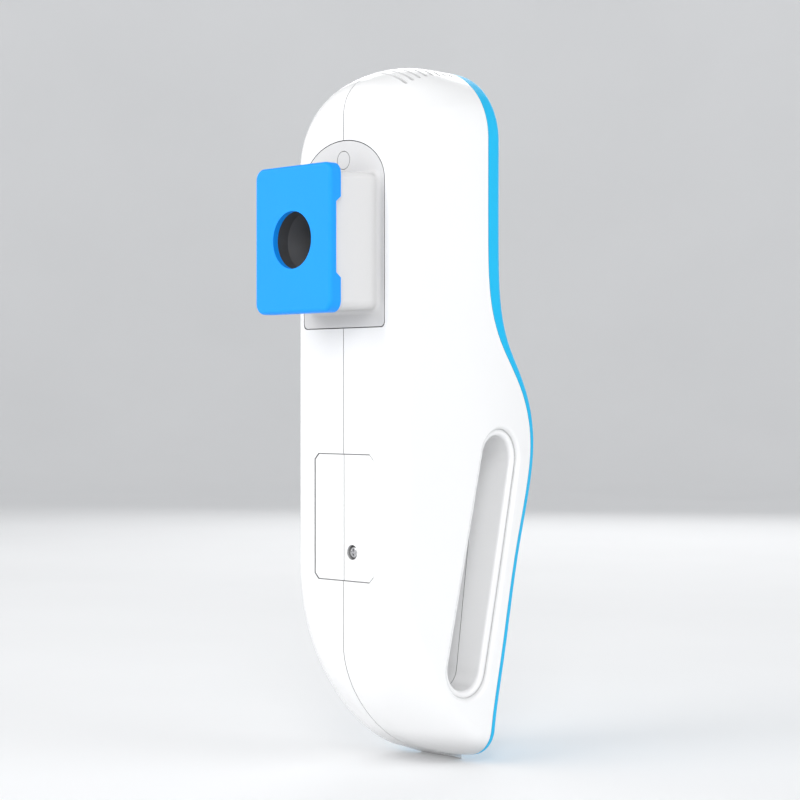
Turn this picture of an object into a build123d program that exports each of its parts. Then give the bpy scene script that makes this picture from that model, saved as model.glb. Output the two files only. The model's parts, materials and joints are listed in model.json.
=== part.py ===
from build123d import *
import os
from math import cos, radians, sin, sqrt

# Handheld infrared thermometer, millimetres.
# X: across, right as seen from the front.  -Y: the front, where the sensor head is.  +Z: up.
# The origin is at the middle of the bounding box's bottom face.

os.makedirs("parts", exist_ok=True)

# ---------------------------------------------------------------- driving dimensions
# body form
FRONT_Y = -28.0          # flat front of the body
HALF_WIDTH = 28.8        # half the body's width
FLAT_HALF = 22.3         # half the width of the flat front
SIDE_R = 6.5             # rounding between the front and the sides
TAPER_Y, TAPER_R = 10.4, 183.5   # behind TAPER_Y the sides close in along a large radius
TOP_R, TOP_Z = 16.2, 248.3       # front-to-top rounding and the height where it starts
CREST_JOIN_Y = -19.75    # the front-to-top rounding meets the crest arc here
CREST_Y, CREST_Z = 9.7, 270.1    # highest point of the crest
CREST_R, CREST_REAR_R = 60.0, 500.0          # crest arcs in front of and behind that point
BOW_Y, BOTTOM_Z = 22.0, 2.7      # where the flat bottom starts, and its height
BOW_DEPTH, BOW_HEIGHT, BOW_POWER = 50.0, 44.8, 1.75     # the lower front is a superellipse
ARCH_B = 23.8            # height of the arch on the flat front
ARCH_GROWTH = 0.385      # the arch grows taller as the body grows wider
ARCH_REAR = 0.083        # and taller again behind Y = 0
CORNER_R = 10.5          # lower corners at the rear
CORNER_BOW = 33.0        # how much taller those corners are at the front
CORNER_EASE = 2.2        # how late they tighten on the way back
WALL = 2.2
REAR_FILLET = 3.0
LOFT_END_Y, LOFT_STEP, SIDE_STEPS = 58.0, 6.0, 7
REACH = 80.0             # larger than any half-size: used by cutting tools
ABOVE = 300.0            # higher than anything

# rear outline in the YZ plane, from above the crest down past the bottom
REAR_OUTLINE = [(29.7, 300), (29.7, 260), (29.7, 220), (29.75, 197), (30.1, 187), (31.5, 175.8),
                (35.5, 164.2), (43.2, 152.6), (50.2, 140.8), (53.9, 123), (52.3, 111.6),
                (48.9, 99.8), (43.3, 82.5), (38.8, 65.2), (34.7, 46.8), (30.6, 29.6),
                (28.2, 18.8), (26.7, 9.5), (25.3, -1)]
# where the back cover meets the two white halves
COVER_OUTLINE = [(21.8, 300), (21.8, 260), (21.8, 220), (21.9, 197), (22.4, 187), (24.3, 175.8),
                 (29.2, 164.2), (37.8, 152.6), (45.8, 140.8), (50.3, 123), (48.7, 111.6),
                 (45.3, 99.8), (39.7, 82.5), (35.2, 65.2), (31.1, 46.8), (27.0, 29.6),
                 (24.6, 18.8), (23.1, 9.5), (21.7, -1)]
OFFSET_SAMPLES = 40
SEAM_GAP = 0.3           # visible joint between the two halves
COVER_GAP = 0.25         # visible joint between the halves and the cover

# hand slot
SLOT_Y, SLOT_Z = 20.0, 78.2
SLOT_LENGTH, SLOT_WIDTH, SLOT_TILT = 105.0, 22.6, 13.5
SLOT_LEDGE, SLOT_LEDGE_DEPTH = 2.6, 1.9      # shallow step round the slot on each side
SLOT_WALL = 1.9
SLOT_SEAM_X, SLOT_SEAM_LEAN = 9.8, 0.1       # the left half's tunnel wall reaches across to here
SLOT_RIM_FILLET, SLOT_STEP_FILLET = 1.6, 1.6
RIM_DEPTH = 4.2          # depth of the thicker wall under the step

# sound slots across the crest, and the cloth behind them
GRILLE_COUNT, GRILLE_FIRST_Y, GRILLE_PITCH = 8, -12.0, 4.0
GRILLE_LENGTH, GRILLE_TAPER, GRILLE_WIDTH, GRILLE_LOW_Z = 33.2, 0.22, 1.5, 256.0
CLOTH_HALF, CLOTH_FRONT_Y, CLOTH_REAR_Y, CLOTH_THICK = 19.5, -14.0, 18.0, 0.4

# head plate, its light box and the plug above it
PLATE_HALF, PLATE_LOW_Z, PLATE_ARCH_Z, PLATE_ARCH_B = 22.3, 168.2, 222.9, 15.9
PLATE_THICK, PLATE_GAP, PLATE_CORNER_R = 2.0, 0.35, 2.0
FLANGE_REACH, FLANGE_THICK = 2.2, 1.5        # the plate's flange behind the housing wall
PLUG_Z, PLUG_R, PLUG_THICK = 231.5, 3.35, 1.4
PLUG_RECESS, PLUG_BOSS_R, PLUG_BOSS_DEPTH, PLUG_CLEARANCE = 3.6, 5.0, 6.0, 0.22
BLOCK_HALF, BLOCK_LOW_Z, BLOCK_HIGH_Z, BLOCK_TIP_Y = 19.4, 174.3, 225.4, -51.2
BLOCK_DRAFT, BLOCK_CORNER_R, BLOCK_WALL = 0.65, 3.0, 2.0
BLOCK_TIP_FILLET, BLOCK_ROOT_FILLET = 1.0, 1.6

# slip-on cap
CAP_HALF, CAP_Z, CAP_HALF_H = 21.2, 200.2, 27.4
CAP_FRONT_Y, CAP_BACK_Y, CAP_NOTCH_Y, CAP_NOTCH_HALF = -53.9, -48.7, -51.0, 13.9
CAP_NOTCH_EASE = 0.6
CAP_FACE, CAP_WALL, CAP_CORNER_R, CAP_BEVEL = 2.3, 1.7, 4.2, 1.5
APERTURE_R, APERTURE_Z = 10.7, 200.0

# viewing tube and sensor
TUBE_R, TUBE_MOUTH_R, TUBE_THROAT_R, TUBE_END_Y = 12.4, 11.2, 6.0, -36.4
TUBE_MOUTH_DEPTH, TUBE_FLANGE, TUBE_FIT = 5.0, 1.6, 0.15
HOLDER_END_Y, HOLDER_BORE_R = -31.0, 4.7
CAN_R, CAN_FRONT_Y, CAN_BASE_Y, CAN_BASE_R, CAN_END_Y = 4.1, -36.6, -32.4, 4.6, -31.1
FILTER_R, FILTER_SEAT_R, FILTER_THICK = 2.55, 2.6, 0.6
SENSOR_BOARD_HALF, SENSOR_BOARD_LOW_Z, SENSOR_BOARD_HIGH_Z = 14.0, 183.0, 219.0
SENSOR_BOARD_Y, SENSOR_BOARD_THICK = -30.9, 1.2
FLEX_HALF, FLEX_Z, FLEX_THICK = 5.0, 196.2, 0.4

# label recess and screws
LABEL_HALF, LABEL_LOW_Z, LABEL_HIGH_Z, LABEL_CHAMFER, LABEL_DEPTH = 16.5, 72.2, 120.5, 2.2, 0.3
GROOVE_WIDTH, GROOVE_DEPTH = 0.4, 0.8
SCREW_SHANK_R, SCREW_CLEARANCE, SCREW_BITE = 1.2, 0.1, 0.05
CASE_SCREW_X, CASE_SCREW_Z, CASE_HEAD_R, CASE_BORE_R = 4.5, 83.3, 2.2, 2.85
CASE_HEAD_Y, CASE_HEAD_H, CASE_TIP_Y = -27.1, 1.7, -11.0
CASE_BOSS_R, CASE_BOSS_Y0, CASE_BOSS_Y1, CASE_SEAT_Y = 4.2, -26.5, -19.5, -25.3
LUG_X0, LUG_X1, LUG_Y0, LUG_Y1, LUG_Z0, LUG_Z1 = -27.3, 9.0, -19.2, -10.0, 78.6, 87.6
HEAD_SCREW_HEAD_Y, HEAD_SCREW_TIP_Y, HEAD_SCREW_R, HEAD_SCREW_H = -26.3, -8.0, 2.3, 1.7

# display and buttons
WINDOW_HALF, WINDOW_LOW_Z, WINDOW_HIGH_Z, WINDOW_CORNER_R = 19.5, 213.0, 246.0, 4.0
WINDOW_THICK, WINDOW_LEDGE, WINDOW_GAP = 0.9, 2.2, 0.1
GASKET_Y0, GASKET_Y1, GASKET_WIDTH, GASKET_CORNER_R = 26.4, 27.35, 2.3, 2.5
LCD_HALF, LCD_LOW_Z, LCD_HIGH_Z, LCD_Y0, LCD_Y1 = 17.2, 214.8, 244.2, 22.6, 26.3
FRAME_WALL, FRAME_Y0, FRAME_Y1, FRAME_OPEN = 1.8, 19.8, 26.2, 4.2
LCD_GAP = 0.1
BUTTON_Z, BUTTON_PROUD, BUTTON_CLEARANCE = 203.0, 0.9, 0.3
BUTTON_DEPTH, BUTTON_EDGE_R, SKIRT_REACH, SKIRT_THICK, SKIRT_GAP = 3.6, 0.6, 1.1, 1.4, 0.4
MEASURE_R, SIDE_BUTTON_R, SIDE_BUTTON_X = 6.2, 3.5, 13.5
REAR_Y = 29.7            # flat upper part of the back cover
MEMBRANE_HALF, MEMBRANE_Y0, MEMBRANE_Y1, MEMBRANE_HALF_H = 18.5, 23.6, 24.4, 6.0
NUB_R, NUB_Y = 1.6, 23.2
SWITCH_HALF, SWITCH_Y0, SWITCH_Y1, PLUNGER_R, PLUNGER_Y = 3.0, 19.7, 22.3, 1.7, 23.1
BUTTONS = {"measure_button": (0.0, MEASURE_R),
           "mode_button": (-SIDE_BUTTON_X, SIDE_BUTTON_R),
           "memory_button": (SIDE_BUTTON_X, SIDE_BUTTON_R)}

# inner chassis and main board
CHASSIS_Y, CHASSIS_THICK, CHASSIS_CORNER_R = 4.0, 2.0, 3.0
CHASSIS_HALF, CHASSIS_LOW_Z, CHASSIS_HIGH_Z = 25.4, 158.0, 238.0
CHASSIS_TOP_HALF, CHASSIS_TOP_Z = 19.5, 251.5
CHASSIS_WINDOWS = [(8, 192, 200), (8, 166, 182), (13, 208, 240)]    # half width, low z, high z
CHASSIS_SCREWS = [(x, z) for x in (-23.4, 23.4) for z in (163.0, 232.0)]
CHASSIS_HEAD_R, CHASSIS_HEAD_H = 2.4, 1.9
BOSS_Y0, BOSS_Y1, BOSS_R, BOSS_WEB = 6.3, 14.0, 3.4, 4.0
POSTS = [(x, z) for x in (-16.0, 16.0) for z in (190.0, 248.3)]
POST_R, POST_BORE_R, BOARD_HOLE_R, POST_GAP = 2.4, 0.9, 1.1, 0.05
BOARD_SCREW_HEAD_R, BOARD_SCREW_HEAD_H, BOARD_SCREW_R, BOARD_SCREW_REACH = 1.7, 1.1, 0.85, 5.0
BOARD_Y, BOARD_THICK, BOARD_HALF, BOARD_LOW_Z, BOARD_HIGH_Z = 18.0, 1.6, 20.0, 186.0, 251.5
BOARD_NOTCH_HALF, BOARD_NOTCH_DEPTH = 13.0, 1.5
CHIPS = [(-6, 6, 1.4, 222, 234), (8, 13, 1.1, 224, 230)]    # x0, x1, height, z0, z1

# battery
CELL_R, CELL_LENGTH, CELL_X, CELL_Y, CELL_LOW_Z = 9.1, 65.0, 9.6, -8.5, 92.0
CELL_EDGE_R, NIPPLE_R, NIPPLE_H = 0.8, 3.2, 0.8
TRAY_MARGIN, TRAY_WALL, TRAY_END, TRAY_FRONT = 2.0, 1.6, 2.6, 6.0
LEAD_X, LEAD_R, LEAD_KNEE_Z, LEAD_REAR_Y, LEAD_END_Z = 3.0, 0.75, 174.0, 14.5, 187.5
LEAD_BENDS = [5.0, 5.0, 1.6]

# speaker
SPEAKER_R, SPEAKER_Y, SPEAKER_LOW_Z, SPEAKER_H = 12.5, 6.7, 253.0, 7.4
SPEAKER_MAGNET_R, SPEAKER_BASKET_Z, CONE_R, CONE_RISE = 7.5, 4.4, 8.5, 4.6
SPEAKER_GASKET_H, SPEAKER_GASKET_WIDTH = 1.2, 2.0

# charging socket, its board, and the flap that covers it
PORT_Y, PORT_WIDTH, PORT_DEPTH = 19.0, 9.6, 3.9
SOCKET_WIDTH, SOCKET_DEPTH, SOCKET_Z, SOCKET_H, SOCKET_WALL = 9.0, 3.3, 6.2, 7.4, 0.3
TONGUE_HALF, TONGUE_THICK = 3.2, 0.7
CHARGE_BOARD_HALF, CHARGE_BOARD_FRONT, CHARGE_BOARD_REAR = 11.0, 9.0, 3.4
CHARGE_BOARD_Z, CHARGE_BOARD_THICK = 13.65, 1.35
FLAP_HALF, FLAP_LIP_Y, FLAP_LIP_TOP_Z, FLAP_STEP_Y, FLAP_STEP_Z = 11.0, 24.8, 2.4, 20.8, 4.4
HINGE_Y, HINGE_Z, HINGE_R, PIN_R, PIN_CLEARANCE = 12.6, 4.9, 0.8, 0.45, 0.05
FLAP_GAP = 0.3
BAY_FRONT_Y, BAY_TOP_Z = 11.2, 6.1           # the bay in the bottom that the flap folds into
PAD_HALF, PAD_FRONT_Y, PAD_REAR_Y, PAD_TOP_Z = 13.4, 9.4, 22.0, 8.2     # the thicker floor round it
PIN_HALF = 12.8


# ---------------------------------------------------------------- small helpers
def block(x0, x1, y0, y1, z0, z1):
    """A box between two corners."""
    return Pos((x0 + x1) / 2, (y0 + y1) / 2, (z0 + z1) / 2) * Box(x1 - x0, y1 - y0, z1 - z0)


def rod_y(x, z, radius, y0, y1):
    """A cylinder along Y."""
    return Pos(x, (y0 + y1) / 2, z) * Rot(90, 0, 0) * Cylinder(radius, y1 - y0)


def rod_x(y, z, radius, x0, x1):
    """A cylinder along X."""
    return Pos((x0 + x1) / 2, y, z) * Rot(0, 90, 0) * Cylinder(radius, x1 - x0)


def rod_z(x, y, radius, z0, z1):
    """A cylinder along Z."""
    return Pos(x, y, (z0 + z1) / 2) * Cylinder(radius, z1 - z0)


def prism_y(sketch, y0, y1):
    """Extrude a sketch drawn in X and Z from y0 back to y1."""
    plane = Plane(origin=(0, y1, 0), x_dir=(1, 0, 0), z_dir=(0, -1, 0))
    return extrude(plane * sketch, y1 - y0)


def prism_x(sketch, x0, x1):
    """Extrude a sketch drawn in Y and Z from x0 to x1."""
    plane = Plane(origin=(x0, 0, 0), x_dir=(0, 1, 0), z_dir=(1, 0, 0))
    return extrude(plane * sketch, x1 - x0)


def rounded(x0, x1, z0, z1, radius):
    """A rectangle with round corners, drawn in X and Z."""
    return Pos((x0 + x1) / 2, (z0 + z1) / 2) * RectangleRounded(x1 - x0, z1 - z0, radius)


def rounded_box(x0, x1, y0, y1, z0, z1, radius):
    """A box whose four edges along Y are round."""
    return prism_y(rounded(x0, x1, z0, z1, radius), y0, y1)


def save(shape, node):
    """Write one node; several separate solids stay one compound."""
    solids = shape.solids()
    result = solids[0] if len(solids) == 1 else Compound(children=solids)
    export_step(result, os.path.join("parts", node + ".step"))
    print(node, len(solids), "solid(s), valid:", all(s.is_valid for s in solids))


# ---------------------------------------------------------------- the body's outer form
def half_width(y, inset):
    depth = y - FRONT_Y - inset
    radius = SIDE_R - inset
    width = HALF_WIDTH - inset
    if depth < radius:
        width = FLAT_HALF + sqrt(max(radius ** 2 - (radius - depth) ** 2, 0))
    return width - max(y - TAPER_Y, 0) ** 2 / (2 * TAPER_R)


def top_z(y, inset):
    if y < CREST_JOIN_Y:
        return TOP_Z + sqrt(max((TOP_R - inset) ** 2 - (y - FRONT_Y - TOP_R) ** 2, 0))
    radius = CREST_R if y < CREST_Y else CREST_REAR_R
    return CREST_Z - radius + sqrt((radius - inset) ** 2 - (y - CREST_Y) ** 2)


def bottom_z(y, inset):
    reach = min(max(BOW_Y - y, 0) / (BOW_DEPTH - inset), 1)
    rise = (1 - reach ** BOW_POWER) ** (1 / BOW_POWER)
    return BOTTOM_Z + BOW_HEIGHT - (BOW_HEIGHT - inset) * rise


def station(y, inset):
    """The body's section across Y: an arch, two sides, two rounded corners and a floor."""
    w = half_width(y, inset)
    low = bottom_z(y, inset)
    arch = ARCH_B + (w + inset - FLAT_HALF) * ARCH_GROWTH + max(y, 0) * ARCH_REAR - inset
    spring = top_z(y, inset) - arch
    along = min(max((y - FRONT_Y) / (BOW_Y - FRONT_Y), 0), 1)
    bow = 1 - along ** CORNER_EASE
    corner_a = min(w * bow + CORNER_R * (1 - bow), w - 0.8)
    corner_b = CORNER_BOW * (1 - along) ** 1.5 + CORNER_R - inset
    edges = [
        EllipticalCenterArc((0, spring), w, arch, start_angle=0, arc_size=90),
        EllipticalCenterArc((0, spring), w, arch, start_angle=90, arc_size=90),
        Line((-w, spring), (-w, low + corner_b)),
        EllipticalCenterArc((corner_a - w, low + corner_b), corner_a, corner_b,
                            start_angle=180, arc_size=90),
        Line((corner_a - w, low), (w - corner_a, low)),
        EllipticalCenterArc((w - corner_a, low + corner_b), corner_a, corner_b,
                            start_angle=270, arc_size=90),
        Line((w, low + corner_b), (w, spring)),
    ]
    plane = Plane(origin=(0, y, 0), x_dir=(1, 0, 0), z_dir=(0, -1, 0))
    return Wire([plane.from_local_coords(edge) for edge in edges])


def front_of(outline, offset):
    """Everything in front of a curve in the YZ plane, moved forward by offset."""
    curve = Spline(*outline)
    if offset:
        points = []
        for u in [i / OFFSET_SAMPLES for i in range(OFFSET_SAMPLES + 1)]:
            tangent = curve.tangent_at(u)
            points.append(curve.position_at(u) + offset * Vector(tangent.Y, -tangent.X, 0))
        curve = Spline(*points)
    start, end = curve.position_at(0), curve.position_at(1)
    rest = Polyline((end.X, end.Y), (-REACH, end.Y), (-REACH, start.Y), (start.X, start.Y))
    return prism_x(make_face(curve.edges() + rest.edges()), -REACH / 2, REACH / 2)


def body_form(inset):
    """The body's closed outer form, or the same form a constant distance inside it."""
    radius = SIDE_R - inset
    turns = [radians(90 * i / SIDE_STEPS) for i in range(SIDE_STEPS + 1)]
    stations = [FRONT_Y + inset + radius * (1 - cos(turn)) for turn in turns]
    first_flat_y = FRONT_Y + SIDE_R + 3.5
    flat_count = int((LOFT_END_Y - first_flat_y) / LOFT_STEP) + 1
    stations += [first_flat_y + LOFT_STEP * i for i in range(flat_count)] + [LOFT_END_Y]
    form = Solid.make_loft([station(y, inset) for y in stations])
    return (form & front_of(REAR_OUTLINE, inset)).solids()[0]


def round_rear(form):
    """Round the edge loop all round the back."""
    back = max(form.faces(), key=lambda f: f.normal_at().Y * f.area)
    return form.fillet(REAR_FILLET, back.outer_wire().edges())


def slot_prism(grow):
    """The hand slot's outline, grown on all sides, as a bar through the body along X."""
    outline = SlotOverall(SLOT_LENGTH + 2 * grow, SLOT_WIDTH + 2 * grow, rotation=90 - SLOT_TILT)
    return prism_x(Pos(SLOT_Y, SLOT_Z) * outline, -REACH / 2, REACH / 2)


def plate_outline(grow):
    """The head plate's outline in X and Z: square below, a half ellipse above."""
    half = PLATE_HALF + grow
    low = PLATE_LOW_Z - grow
    r = PLATE_CORNER_R
    edges = [
        Line((-half, PLATE_ARCH_Z), (-half, low + r)),
        CenterArc((r - half, low + r), r, 180, 90),
        Line((r - half, low), (half - r, low)),
        CenterArc((half - r, low + r), r, 270, 90),
        Line((half, low + r), (half, PLATE_ARCH_Z)),
        EllipticalCenterArc((0, PLATE_ARCH_Z), half, PLATE_ARCH_B + grow, start_angle=0, arc_size=180),
    ]
    return make_face([e for edge in edges for e in edge.edges()])


# ---------------------------------------------------------------- housing halves and back cover
OUTER = round_rear(body_form(0))
INNER = body_form(WALL)
FRONT_REGION = front_of(COVER_OUTLINE, COVER_GAP)


def slot_collar():
    """The tunnel wall round the hand slot, thicker under its two steps."""
    through = slot_prism(-SLOT_LEDGE)
    tunnel = (slot_prism(SLOT_WALL - SLOT_LEDGE) - through) & body_form(1.0)
    rim = (slot_prism(SLOT_WALL) - through) & (OUTER - body_form(RIM_DEPTH))
    return tunnel + rim


def slot_distance(point, grow):
    """Distance in the YZ plane from a point to the slot's outline grown by grow."""
    tilt = radians(SLOT_TILT)
    dy, dz = point.Y - SLOT_Y, point.Z - SLOT_Z
    along = abs(dy * sin(tilt) + dz * cos(tilt))
    across = dy * cos(tilt) - dz * sin(tilt)
    beyond = max(along - (SLOT_LENGTH - SLOT_WIDTH) / 2, 0)
    return sqrt(beyond ** 2 + across ** 2) - (SLOT_WIDTH / 2 + grow)


def slot_edges(half, grow, depth):
    """The edge loop of a housing half that runs round the slot at a depth below the side."""
    found = []
    for edge in half.edges():
        ends = [edge.position_at(0), edge.position_at(1)]
        on_loop = all(abs(abs(p.X) - half_width(p.Y, 0) + depth) < 0.1 for p in ends)
        if on_loop and edge.length > 1 and abs(slot_distance(edge.position_at(0.5), grow)) < 0.05:
            found.append(edge)
    return found


def soften_slot(half):
    """Round the slot's outer rim and the inner edge of its step."""
    half = half.fillet(SLOT_RIM_FILLET, slot_edges(half, 0, 0))
    return half.fillet(SLOT_STEP_FILLET, slot_edges(half, -SLOT_LEDGE, SLOT_LEDGE_DEPTH))


def label_outline(inset):
    """The label's outline with cut corners, drawn in X and Z."""
    outline = Rectangle(2 * (LABEL_HALF - inset), LABEL_HIGH_Z - LABEL_LOW_Z - 2 * inset)
    outline = chamfer(outline.vertices(), LABEL_CHAMFER - inset / 2)
    return Pos(0, (LABEL_LOW_Z + LABEL_HIGH_Z) / 2) * outline


def label_recess():
    """The shallow label recess on the lower front, with a fine groove round it."""
    recess = prism_y(label_outline(0), FRONT_Y - 5, FRONT_Y + LABEL_DEPTH)
    groove = prism_y(label_outline(0) - label_outline(GROOVE_WIDTH), FRONT_Y - 5, FRONT_Y + GROOVE_DEPTH)
    return recess + groove


def grille():
    """The sound slots across the crest, a little longer towards the front."""
    slots = []
    for i in range(GRILLE_COUNT):
        y = GRILLE_FIRST_Y + i * GRILLE_PITCH
        outline = Pos(0, y) * SlotOverall(GRILLE_LENGTH - GRILLE_TAPER * y, GRILLE_WIDTH)
        slots.append(extrude(Plane.XY.offset(GRILLE_LOW_Z) * outline, ABOVE - GRILLE_LOW_Z).solid())
    return slots


def chassis_boss(x, z):
    """A boss for a chassis screw, with a web to the side wall."""
    outer_x = x + BOSS_WEB * (1 if x > 0 else -1)
    web = block(min(x, outer_x), max(x, outer_x), BOSS_Y0, BOSS_Y1, z - 2, z + 2)
    return (rod_y(x, z, BOSS_R, BOSS_Y0, BOSS_Y1) + web) & body_form(1.0)


def flap_bay():
    """The cuts for the charging flap: its bay, the pin's hole and the socket's opening."""
    half = FLAP_HALF + FLAP_GAP
    bay = block(-half, half, BAY_FRONT_Y, FLAP_STEP_Y + FLAP_GAP, -1, BAY_TOP_Z)
    socket_hole = extrude(Plane.XY * Pos(0, PORT_Y) * SlotOverall(PORT_WIDTH, PORT_DEPTH), PAD_TOP_Z + 1)
    return [bay, rod_x(HINGE_Y, HINGE_Z, PIN_R, -PIN_HALF, PIN_HALF), socket_hole]


def tunnel_near(offset):
    """The middle of the tunnel, out to its leaning seam moved by offset."""
    low_x = SLOT_SEAM_X + SLOT_SEAM_LEAN * SLOT_Z + offset
    high_x = low_x - SLOT_SEAM_LEAN * ABOVE
    outline = Polyline((-SEAM_GAP, 0), (low_x, 0), (high_x, ABOVE), (high_x - low_x, ABOVE), (-SEAM_GAP, 0))
    return prism_y(make_face(outline.edges()), -REACH, REACH)


def make_housings():
    """The white halves: they meet on X = 0, and in the slot's tunnel at SLOT_SEAM_X."""
    hole = slot_prism(-SLOT_LEDGE)
    collar = (slot_collar() & FRONT_REGION) - hole
    shell = ((OUTER - INNER) & FRONT_REGION) + collar
    shell = shell - hole - (slot_prism(0) & (OUTER - body_form(SLOT_LEDGE_DEPTH)))
    right = (shell & block(SEAM_GAP / 2, REACH, -REACH, REACH, -10, ABOVE)).solid()
    left = (shell & block(-REACH, -SEAM_GAP / 2, -REACH, REACH, -10, ABOVE)).solid()
    right = soften_slot(right)
    left = soften_slot(left)
    right = right - (slot_prism(SLOT_WALL) & tunnel_near(SEAM_GAP / 2))
    left = left + (collar & tunnel_near(-SEAM_GAP / 2))

    plate_hole = prism_y(plate_outline(PLATE_GAP), FRONT_Y - 5, FRONT_Y + WALL + 0.4)
    pad = block(-PAD_HALF, PAD_HALF, PAD_FRONT_Y, PAD_REAR_Y, 0, PAD_TOP_Z) & body_form(1.0) & FRONT_REGION
    right = right + (pad & block(SEAM_GAP / 2, REACH, -REACH, REACH, 0, ABOVE))
    left = left + (pad & block(-REACH, -SEAM_GAP / 2, -REACH, REACH, 0, ABOVE))
    cuts = [label_recess(), plate_hole] + flap_bay() + grille()
    for cut in cuts:
        right = right - cut
        left = left - cut
    for x, z in CHASSIS_SCREWS:
        pilot = rod_y(x, z, SCREW_SHANK_R + SCREW_CLEARANCE, BOSS_Y0 - 1, BOSS_Y1 + 1)
        if x > 0:
            right = right + chassis_boss(x, z) - pilot
        else:
            left = left + chassis_boss(x, z) - pilot

    x, z = CASE_SCREW_X, CASE_SCREW_Z
    right = right + rod_y(x, z, CASE_BOSS_R, CASE_BOSS_Y0, CASE_BOSS_Y1)
    right = right - rod_y(x, z, CASE_BORE_R, FRONT_Y - 2, CASE_SEAT_Y)
    right = right - rod_y(x, z, SCREW_SHANK_R + SCREW_CLEARANCE, FRONT_Y, CASE_BOSS_Y1 + 0.5)
    left = left + block(LUG_X0, LUG_X1, LUG_Y0, LUG_Y1, LUG_Z0, LUG_Z1)
    left = left - rod_y(x, z, SCREW_SHANK_R + SCREW_BITE, LUG_Y0 - 1, LUG_Y1 + 1)
    return {"left_housing": left, "right_housing": right}


def make_back_cover():
    """The coloured rear shell, with the display opening and the button holes."""
    cover = (OUTER - INNER) - front_of(COVER_OUTLINE, 0)
    cover = cover - slot_prism(SLOT_WALL + 0.4)
    cover = max(cover.solids(), key=lambda solid: solid.volume)
    e = WINDOW_LEDGE
    seat = rounded(-WINDOW_HALF - WINDOW_GAP, WINDOW_HALF + WINDOW_GAP,
                   WINDOW_LOW_Z - WINDOW_GAP, WINDOW_HIGH_Z + WINDOW_GAP, WINDOW_CORNER_R)
    opening = rounded(e - WINDOW_HALF, WINDOW_HALF - e,
                      WINDOW_LOW_Z + e, WINDOW_HIGH_Z - e, WINDOW_CORNER_R - e)
    cover = cover - prism_y(seat, REAR_Y - WINDOW_THICK - WINDOW_GAP, REAR_Y + 5)
    cover = cover - prism_y(opening, REAR_Y - 10, REAR_Y + 5)
    for x, r in BUTTONS.values():
        cover = cover - rod_y(x, BUTTON_Z, r + BUTTON_CLEARANCE, REAR_Y - 10, REAR_Y + 5)
    return cover


def make_grille_cloth():
    """The light dust cloth fixed under the sound slots, following the crest."""
    layer = body_form(WALL + 0.05) - body_form(WALL + 0.05 + CLOTH_THICK)
    return layer & block(-CLOTH_HALF, CLOTH_HALF, CLOTH_FRONT_Y, CLOTH_REAR_Y, GRILLE_LOW_Z, ABOVE)


# ---------------------------------------------------------------- sensor head
def make_head_housing():
    """The plate on the front with the light box that carries the sensor."""
    plate = prism_y(plate_outline(0), FRONT_Y, FRONT_Y + PLATE_THICK)
    core = prism_y(plate_outline(-0.4), FRONT_Y + 1.0, FRONT_Y + WALL + 0.5)
    flange_y = FRONT_Y + WALL + 0.3
    flange = prism_y(plate_outline(FLANGE_REACH), flange_y, flange_y + FLANGE_THICK)
    flange = flange & body_form(WALL + 0.3)
    mid_z = (BLOCK_LOW_Z + BLOCK_HIGH_Z) / 2
    sections = []
    for y, draft in ((FRONT_Y + 0.5, 0), (BLOCK_TIP_Y, BLOCK_DRAFT)):
        plane = Plane(origin=(0, y, mid_z), x_dir=(1, 0, 0), z_dir=(0, -1, 0))
        height = BLOCK_HIGH_Z - BLOCK_LOW_Z - 2 * draft
        sections.append(plane * RectangleRounded(2 * (BLOCK_HALF - draft), height, BLOCK_CORNER_R))
    box = loft(sections)
    box = fillet(box.faces().sort_by(Axis.Y)[0].edges(), BLOCK_TIP_FILLET)
    head = plate + box
    root_edges = [e for e in head.edges()
                  if abs(e.center().Y - FRONT_Y) < 0.01
                  and BLOCK_LOW_Z - 1 < e.center().Z < BLOCK_HIGH_Z + 1
                  and abs(e.center().X) < BLOCK_HALF + 0.5]
    head = fillet(root_edges, BLOCK_ROOT_FILLET)
    head = head + core + flange
    w = BLOCK_WALL + BLOCK_DRAFT
    head = head - rounded_box(w - BLOCK_HALF, BLOCK_HALF - w, BLOCK_TIP_Y + BLOCK_WALL, FRONT_Y + 10,
                              BLOCK_LOW_Z + w, BLOCK_HIGH_Z - w, 1.5)
    head = head - rod_y(0, APERTURE_Z, TUBE_R + TUBE_FIT, BLOCK_TIP_Y - 5, BLOCK_TIP_Y + 5)
    head = head + rod_y(0, PLUG_Z, PLUG_BOSS_R, FRONT_Y + 1, FRONT_Y + PLUG_BOSS_DEPTH)
    head = head - rod_y(0, PLUG_Z, PLUG_R + PLUG_CLEARANCE, FRONT_Y - 1, FRONT_Y + PLUG_RECESS)
    return head - rod_y(0, PLUG_Z, SCREW_SHANK_R + SCREW_CLEARANCE, FRONT_Y - 1, FRONT_Y + 8)


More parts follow.
